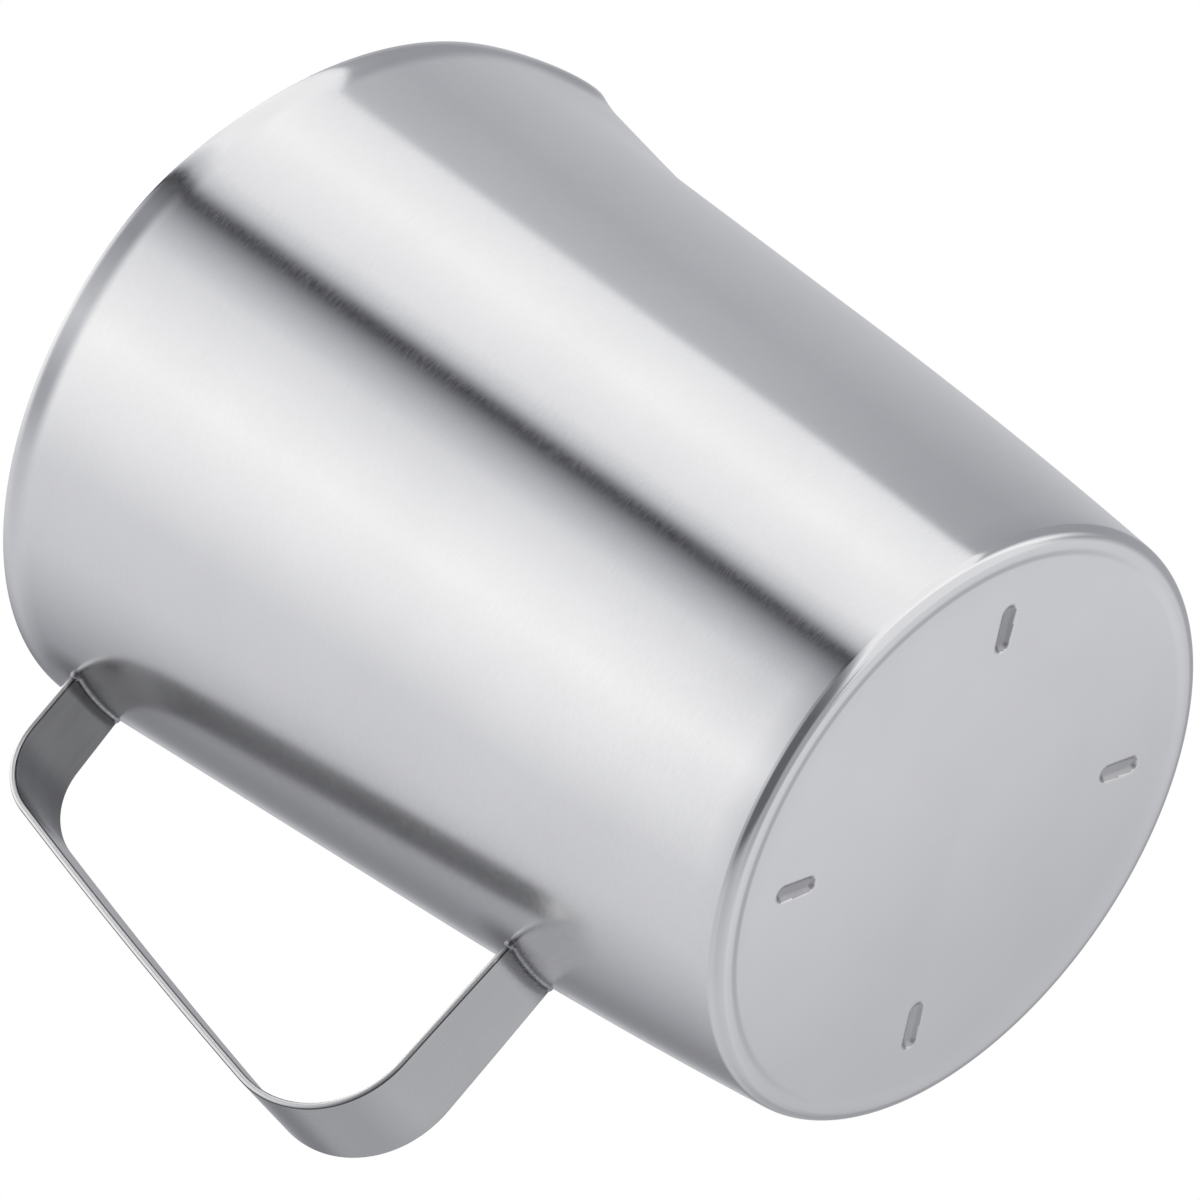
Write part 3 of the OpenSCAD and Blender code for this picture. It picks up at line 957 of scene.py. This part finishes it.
@dataclass
class Welds(Assembly):
    """Weld metal round the two ends of the strap."""

    handle: StrapHandle
    bead_r: float = 0.42
    lump_r: float = 0.85
    ripple: float = 0.05
    ripple_pace: float = 260.0

    def build(self) -> list[bpy.types.Object]:
        """Builds both welds.

        Returns:
            The pieces that stand for the CAD welds.
        """
        upper = self.handle.upper_arm_z - self.handle.strap_t
        return [self._weld("weld_at_upper_arm", upper, "upper_weld"),
                self._weld("weld_at_lower_arm", self.handle.lower_arm_z, "lower_weld")]

    def _weld(self, name: str, low_z: float, node: str) -> bpy.types.Object:
        """Builds one weld.

        Args:
            name: The piece's name.
            low_z: Height of the lower face of the strap at the wall.
            node: The CAD node that it stands for.

        Returns:
            The piece.
        """
        body, strap = self.handle.body, self.handle
        middle_z = low_z + strap.strap_t / 2
        half = math.asin((strap.end_w / 2 - strap.edge_r) / body.wall_r(middle_z))
        bm = bmesh.new()
        for z in (low_z, low_z + strap.strap_t):
            self._bead(bm, body.wall_r(z), z, half)
        for side in (-1, 1):
            turn = math.pi + side * half
            r = body.wall_r(middle_z)
            lump = bmesh.ops.create_icosphere(bm, subdivisions=4, radius=self.lump_r)["verts"]
            bmesh.ops.translate(bm, verts=lump, vec=(r * math.cos(turn), r * math.sin(turn),
                                                     middle_z))
        bmesh.ops.recalc_face_normals(bm, faces=bm.faces)
        return self.piece(bm, name, [WELD_STEEL], "weld_steel", [node])

    def _bead(self, bm: BMesh, radius: float, z: float, half: float) -> None:
        """Lays one bead along a face of the strap.

        Args:
            bm: The weld's mesh.
            radius: Radius of the wall there.
            z: Height of the bead.
            half: Half of the angle that it covers, in radians.
        """
        ring = bmesh.ops.create_circle(bm, segments=20, radius=self.bead_r)["verts"]
        upright = Matrix.Rotation(math.pi / 2, 4, "X")
        start = Matrix.Rotation(math.pi - half, 4, "Z") @ Matrix.Translation((radius, 0, z))
        bmesh.ops.transform(bm, matrix=start @ upright, verts=ring)
        edges = list({e for v in ring for e in v.link_edges})
        bmesh.ops.spin(bm, geom=[*ring, *edges], cent=(0, 0, 0), axis=(0, 0, 1),
                       angle=2 * half, steps=60)
        for vert in bm.verts:
            if abs(vert.co.z - z) <= self.bead_r + 1e-6:
                turn = math.atan2(vert.co.y, -vert.co.x)
                swell = 1 + self.ripple * math.sin(turn * self.ripple_pace)
                vert.co.z = z + (vert.co.z - z) * swell


@dataclass
class LevelScale(Assembly):
    """The etched lines and numbers of the contents, inside the wall."""

    body: JugBody
    step_ml: float = 100.0
    turn: float = 90.0
    long_l: float = 16.0
    short_l: float = 9.0
    line_w: float = 0.6
    proud: float = 0.04
    sunk: float = 0.1
    number_h: float = 4.4
    number_gap: float = 2.0

    def contents(self, z: float, slices: int = 60) -> float:
        """Finds the contents of the jug up to a height.

        Args:
            z: The height.
            slices: Number of slices that are added up.

        Returns:
            The volume, in cubic millimetres.
        """
        floor_z = self.body.panel_lift + self.body.sheet_t
        dz = (z - floor_z) / slices
        radii = [self.body.wall_r(floor_z + (i + 0.5) * dz) - self.body.sheet_t
                 for i in range(slices)]
        return math.pi * dz * sum(r * r for r in radii)

    def level_z(self, volume: float) -> float:
        """Finds the height at which the jug holds a volume, by halving.

        Args:
            volume: The volume, in cubic millimetres.

        Returns:
            The height.
        """
        low, high = 0.0, self.body.rim_h
        for _ in range(24):
            middle = (low + high) / 2
            low, high = (middle, high) if self.contents(middle) < volume else (low, middle)
        return (low + high) / 2

    def levels(self) -> Iterator[tuple[int, float]]:
        """Goes through the lines of the scale.

        Returns:
            The number and the height of each line, in turn.
        """
        body = self.body
        top = body.rim_h - body.rim_fall - body.tip_dip - body.flare_h
        count = int(self.contents(top) / (self.step_ml * 1000))
        for i in range(1, count + 1):
            yield i, self.level_z(i * self.step_ml * 1000)

    def build(self) -> list[bpy.types.Object]:
        """Builds the lines and the numbers.

        Returns:
            The two pieces.
        """
        lines, numbers = bmesh.new(), bmesh.new()
        for i, z in self.levels():
            length = self.short_l if i % 2 else self.long_l
            self._line(lines, z, length)
            if i % 2 == 0:
                self._number(numbers, str(int(i * self.step_ml)), z)
        return [self.piece(lines, "level_lines", [EtchedMark()], "drawn_steel"),
                self.piece(numbers, "level_numbers", [EtchedMark()], "drawn_steel")]

    def _line(self, bm: BMesh, z: float, length: float) -> None:
        """Lays one line on the inner face.

        Args:
            bm: The mesh of all lines.
            z: Its height.
            length: Its length along the wall.
        """
        r = self.body.wall_r(z) - self.body.sheet_t
        half_w, angle = self.line_w / 2, length / r
        corners = [(r - self.proud, -half_w), (r + self.sunk, -half_w),
                   (r + self.sunk, half_w), (r - self.proud, half_w)]
        first = [bm.verts.new((x, 0, z + up)) for x, up in corners]
        edges = [bm.edges.new(pair) for pair in zip(first, first[1:] + first[:1])]
        start = Matrix.Rotation(math.radians(self.turn) - angle / 2, 4, "Z")
        bmesh.ops.transform(bm, matrix=start, verts=first)
        made = bmesh.ops.spin(bm, geom=[*first, *edges], cent=(0, 0, 0), axis=(0, 0, 1),
                              angle=angle, steps=24)["geom_last"]
        last = [v for v in made if isinstance(v, bmesh.types.BMVert)]
        for end in (first, last):
            bmesh.ops.contextual_create(bm, geom=end)
        bmesh.ops.recalc_face_normals(bm, faces=bm.faces)

    def _number(self, bm: BMesh, digits: str, z: float) -> None:
        """Lays one number beside a long line.

        Args:
            bm: The mesh of all numbers.
            digits: The number.
            z: Height of its middle.
        """
        curve = bpy.data.curves.new("digits", "FONT")
        curve.body = digits
        curve.align_x, curve.align_y = "RIGHT", "CENTER"
        curve.resolution_u = 4
        text = bpy.data.objects.new("digits", curve)
        bpy.context.scene.collection.objects.link(text)
        mesh = text.to_mesh()
        known = set(bm.verts)
        bm.from_mesh(mesh)
        text.to_mesh_clear()
        bpy.data.objects.remove(text)
        bpy.data.curves.remove(curve)
        flat = [v for v in bm.verts if v not in known]
        size = self.number_h / 0.7
        offset = -self.long_l / 2 - self.number_gap
        for vert in flat:
            x, up = vert.co.x * size + offset, vert.co.y * size
            r = self.body.wall_r(z + up) - self.body.sheet_t - self.proud
            turn = math.radians(self.turn) - x / r
            vert.co = (r * math.cos(turn), r * math.sin(turn), z + up)


# --- the studio ---


@dataclass(frozen=True)
class Ring:
    """Light levels of the studio at one height, all the way round.

    A place is the share of a whole turn at which the middle of the wall shows
    that level, counted from the spout along the side that the camera sees.
    """

    levels: tuple[tuple[float, float], ...]


@dataclass
class Studio:
    """Camera, light, backdrop and floor."""

    eye: tuple[float, float, float] = (-282.2, -1901.8, -1176.4)
    ahead: tuple[float, float, float] = (0.12225, 0.8298, 0.5445)
    upward: tuple[float, float, float] = (0.77133, -0.42468, 0.47403)
    lens: float = 480.0
    start_bearing: float = 98.4
    upper: Ring = Ring(((0.0, 0.62), (0.1, 0.56), (0.25, 0.45), (0.31, 0.52), (0.3185, 0.55),
                        (0.3225, 0.88), (0.385, 1.02), (0.445, 0.86), (0.462, 0.6), (0.472, 0.12),
                        (0.476, 0.05), (0.481, 0.06), (0.489, 0.22), (0.502, 0.44), (0.53, 0.78),
                        (0.57, 0.93), (0.61, 1.03), (0.665, 0.9), (0.725, 0.7), (0.8, 0.64),
                        (0.86, 0.46), (0.94, 0.23), (0.975, 0.25), (1.0, 0.45)))
    horizon: Ring = Ring(((0.0, 0.42), (0.04, 0.45), (0.1, 0.4), (0.2, 0.33), (0.28, 0.34),
                          (0.318, 0.38), (0.324, 0.95), (0.44, 0.95), (0.468, 0.5), (0.474, 0.05),
                          (0.482, 0.05), (0.51, 0.3), (0.53, 0.3), (0.6, 0.62), (0.655, 0.4),
                          (0.675, 0.4), (0.72, 0.56), (0.83, 0.6), (0.9, 0.56), (0.955, 0.45),
                          (1.0, 0.42)))
    lower: Ring = Ring(((0.0, 0.7), (0.03, 0.69), (0.08, 0.67), (0.12, 0.5), (0.15, 0.36),
                        (0.175, 0.55), (0.2, 0.95), (0.24, 1.05), (0.4, 1.05), (0.455, 0.92),
                        (0.475, 0.42), (0.495, 0.22), (0.51, 0.18), (0.54, 0.12), (0.665, 0.13),
                        (0.7, 0.42), (0.74, 0.5), (0.8, 0.54), (0.9, 0.6), (0.96, 0.62),
                        (1.0, 0.7)))
    zenith: float = 1.2
    nadir: float = 0.38
    deep_light: float = 0.8
    plain_light: float = 0.92
    handle_turn: Point = (0.315, 0.325)
    near_turn: Point = (0.4, 0.46)
    far_turn: Point = (0.67, 0.72)
    deep_start: Point = (0.07, 0.11)
    deep_end: Point = (0.41, 0.46)
    handle_high: Point = (11.0, 24.0)
    spout_high: Point = (20.0, 30.5)
    spout_low: Point = (-16.0, -36.0)
    eye_low: Point = (2.0, -12.0)
    far_low: Point = (-12.0, -26.0)
    deep_low: Point = (-35.0, -45.0)
    pole_low: Point = (-76.0, -82.0)
    zenith_high: Point = (38.0, 52.0)
    nadir_low: Point = (-60.0, -78.0)
    cool_green: float = 0.015
    cool_blue: float = 0.12
    lamp_place: tuple[float, float, float] = (0.35, 0.45, 1.5)
    lamp_size: float = 0.9
    lamp_power: float = 5.0
    mirror_bounces: int = 12
    floor_size: float = 40.0

    def build(self) -> None:
        """Builds the camera, the light and the floor."""
        self._camera()
        self._world()
        self._lamp()
        self._floor()
        bpy.context.scene.view_settings.view_transform = "Standard"
        bpy.context.scene.cycles.glossy_bounces = self.mirror_bounces
        bpy.context.scene.cycles.max_bounces = self.mirror_bounces

    def _camera(self) -> None:
        """Puts the camera at the photograph's place."""
        data = bpy.data.cameras.new("camera")
        data.lens, data.sensor_width = self.lens, 36.0
        data.clip_start, data.clip_end = 0.1, 100.0
        ahead, upward = Vector(self.ahead).normalized(), Vector(self.upward).normalized()
        right = ahead.cross(upward).normalized()
        upward = right.cross(ahead)
        camera = bpy.data.objects.new("camera", data)
        turn = Matrix((right, upward, -ahead)).transposed().to_4x4()
        camera.matrix_world = Matrix.Translation(Vector(self.eye) * MM) @ turn
        bpy.context.scene.collection.objects.link(camera)
        bpy.context.scene.camera = camera

    def _world(self) -> None:
        """Surrounds the jug with the studio's walls of light."""
        world = bpy.data.worlds.new("studio")
        world.use_nodes = True
        bpy.context.scene.world = world
        graph = Graph(world.node_tree)
        x, y, z = graph.parts(graph.node("TexCoord")["Generated"])
        bearing = math.radians(self.start_bearing) - y.math("ARCTAN2", y, x)
        share = (bearing / (2 * math.pi)).math("FRACT", bearing / (2 * math.pi))
        level = self._level(graph, z, share)
        light = graph.node("LightPath")
        seen, mirrored = light["Is Camera Ray"], light["Is Glossy Ray"]
        through = light["Is Transmission Ray"]
        shown = seen.math("MINIMUM", seen + mirrored + through, 1.0)
        backdrop = graph.mix(seen, self._cool(graph, level), (1.0, 1.0, 1.0))
        plain = graph.node("Background", None, {"Color": (*(self.plain_light,) * 3, 1.0)})
        white = graph.node("Background", None, {"Color": backdrop})
        both = graph.node("MixShader", None, {
            0: shown, 1: plain["Background"], 2: white["Background"]})
        graph.node("OutputWorld", None, {"Surface": both["Shader"]})

    def _level(self, graph: Graph, z: Wire, share: Wire) -> Wire:
        """Adds up the studio's light levels.

        Args:
            graph: The world's tree.
            z: Sine of the elevation.
            share: Share of the turn.

        Returns:
            The level in every direction.
        """
        horizon, upper, lower = (self._ring(graph, share, ring)
                                 for ring in (self.horizon, self.upper, self.lower))
        handle_side, far = share.step(*self.handle_turn), share.step(*self.far_turn)
        near = share.step(*self.near_turn)
        high = (handle_side * self._between(z, *self.handle_high)
                + (1 - handle_side) * self._between(z, *self.spout_high))
        low = ((1 - near) * self._between(z, *self.spout_low)
               + near * (1 - far) * self._between(z, *self.eye_low)
               + far * self._between(z, *self.far_low))
        deep = (share.step(*self.deep_start) * (1 - share.step(*self.deep_end))
                * self._between(z, *self.deep_low) * (1 - self._between(z, *self.pole_low)))
        level = graph.mix(low, graph.mix(high, horizon, upper), lower)
        level = graph.mix(self._between(z, *self.zenith_high), level, (self.zenith,) * 3)
        level = graph.mix(self._between(z, *self.nadir_low), level, (self.nadir,) * 3)
        return graph.mix(deep, level, (self.deep_light,) * 3)

    def _cool(self, graph: Graph, level: Wire) -> Wire:
        """Colours a level, a little bluer the darker it is.

        Args:
            graph: The world's tree.
            level: The grey level.

        Returns:
            The colour.
        """
        green, blue = (level * (1 + share - share * level)
                       for share in (self.cool_green, self.cool_blue))
        sockets = {"Red": level, "Green": green, "Blue": blue}
        return graph.node("CombineColor", None, sockets)["Color"]

    @staticmethod
    def _between(height: Wire, start: float, end: float) -> Wire:
        """Mask that rises from 0 to 1 between two elevations, in degrees."""
        return height.step(math.sin(math.radians(start)), math.sin(math.radians(end)))

    @staticmethod
    def _ring(graph: Graph, share: Wire, ring: Ring) -> Wire:
        """Reads a ring's level at a share of the turn."""
        return graph.node("ValToRGB", {"stops": ring.levels}, {"Fac": share})["Color"]

    def _lamp(self) -> None:
        """Hangs one large soft lamp over the jug."""
        data = bpy.data.lights.new("overhead", "AREA")
        data.shape, data.size, data.energy = "DISK", self.lamp_size, self.lamp_power
        lamp = bpy.data.objects.new("overhead", data)
        lamp.location = self.lamp_place
        lamp.rotation_euler = (-Vector(self.lamp_place)).to_track_quat("-Z", "Y").to_euler()
        bpy.context.scene.collection.objects.link(lamp)

    def _floor(self) -> None:
        """Lays the pale floor, which is seen from above and never from below."""
        bm = bmesh.new()
        bmesh.ops.create_grid(bm, x_segments=2, y_segments=2, size=self.floor_size / 2)
        mesh = bpy.data.meshes.new("floor")
        bm.to_mesh(mesh)
        bm.free()
        material = bpy.data.materials.new("pale_floor")
        material.use_nodes = True
        graph = Graph(material.node_tree)
        seen = graph.node("LightPath")["Is Camera Ray"]
        below = graph.node("NewGeometry")["Backfacing"]
        paint = graph.node("BsdfDiffuse", None, {"Color": (0.9, 0.9, 0.9, 1.0)})
        clear = graph.node("BsdfTransparent")
        both = graph.node("MixShader", None, {
            0: seen * (1 - below), 1: clear["BSDF"], 2: paint["BSDF"]})
        graph.node("OutputMaterial", None, {"Surface": both["Shader"]})
        floor = bpy.data.objects.new("floor", mesh)
        mesh.materials.append(material)
        bpy.context.scene.collection.objects.link(floor)


def main() -> None:
    """Builds the jug and its studio."""
    logging.basicConfig(level=logging.INFO, format="%(message)s")
    Studio().build()
    body = JugBody()
    body.build()
    handle = StrapHandle(body)
    handle.build()
    Welds(handle).build()
    LevelScale(body).build()


if __name__ == "__main__":
    main()
